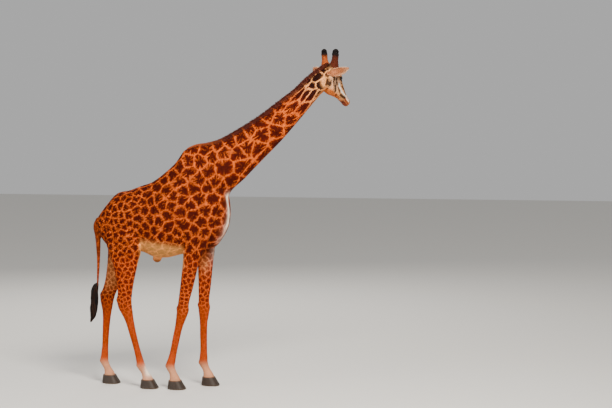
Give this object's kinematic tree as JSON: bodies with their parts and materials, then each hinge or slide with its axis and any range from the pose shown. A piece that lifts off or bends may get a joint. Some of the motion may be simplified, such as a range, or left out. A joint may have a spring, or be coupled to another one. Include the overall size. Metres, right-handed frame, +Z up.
{
  "type": "giraffe",
  "caption": "Life-size standing giraffe bull, neck stretched forward and up, head turned left, tufted tail hanging, for display or as scenery.",
  "frame": {"origin": "on the floor under the middle of the whole animal's bounding box", "axes": "+X from tail to chest, +Y to the animal's left, +Z up"},
  "size_m": [3.2858, 0.9798, 4.2505],
  "materials": {
    "patched_coat": "short flat fur: dark red-brown jagged patches on an orange-tan ground",
    "leg_coat": "short flat fur, orange-brown with small faint spots",
    "pale_coat": "very short pale buff fur",
    "mane_hair": "stiff upright dark brown hair",
    "tail_hair": "long coarse near-black hair",
    "horn_skin": "furred red-brown stem with a near-black knob",
    "eye": "glossy near-black brown",
    "hoof_horn": "dull dark grey-brown horn, paler at the edges"
  },
  "bodies": {
    "root": {"torso_chest": "patched_coat", "torso_belly": "patched_coat", "torso_rump": "patched_coat", "neck_lower": "patched_coat", "neck_middle": "patched_coat", "neck_upper": "patched_coat", "head": "patched_coat", "eye_left": "eye", "horn_left": "horn_skin", "eye_right": "eye", "horn_right": "horn_skin", "ear_left": "pale_coat", "ear_right": "pale_coat", "leg_fore_right_upper": "leg_coat", "leg_fore_right_shin": "leg_coat", "leg_fore_right_foot": "pale_coat", "hoof_fore_right_outer": "hoof_horn", "hoof_fore_right_inner": "hoof_horn", "leg_fore_left_upper": "leg_coat", "leg_fore_left_shin": "leg_coat", "leg_fore_left_foot": "pale_coat", "hoof_fore_left_outer": "hoof_horn", "hoof_fore_left_inner": "hoof_horn", "leg_hind_right_upper": "leg_coat", "leg_hind_right_shin": "leg_coat", "leg_hind_right_foot": "pale_coat", "hoof_hind_right_outer": "hoof_horn", "hoof_hind_right_inner": "hoof_horn", "leg_hind_left_upper": "leg_coat", "leg_hind_left_shin": "leg_coat", "leg_hind_left_foot": "pale_coat", "hoof_hind_left_outer": "hoof_horn", "hoof_hind_left_inner": "hoof_horn", "mane_lower": "mane_hair", "mane_middle": "mane_hair", "mane_upper": "mane_hair", "tail_dock": "patched_coat", "tail_tuft": "tail_hair"}
  },
  "joints": []
}
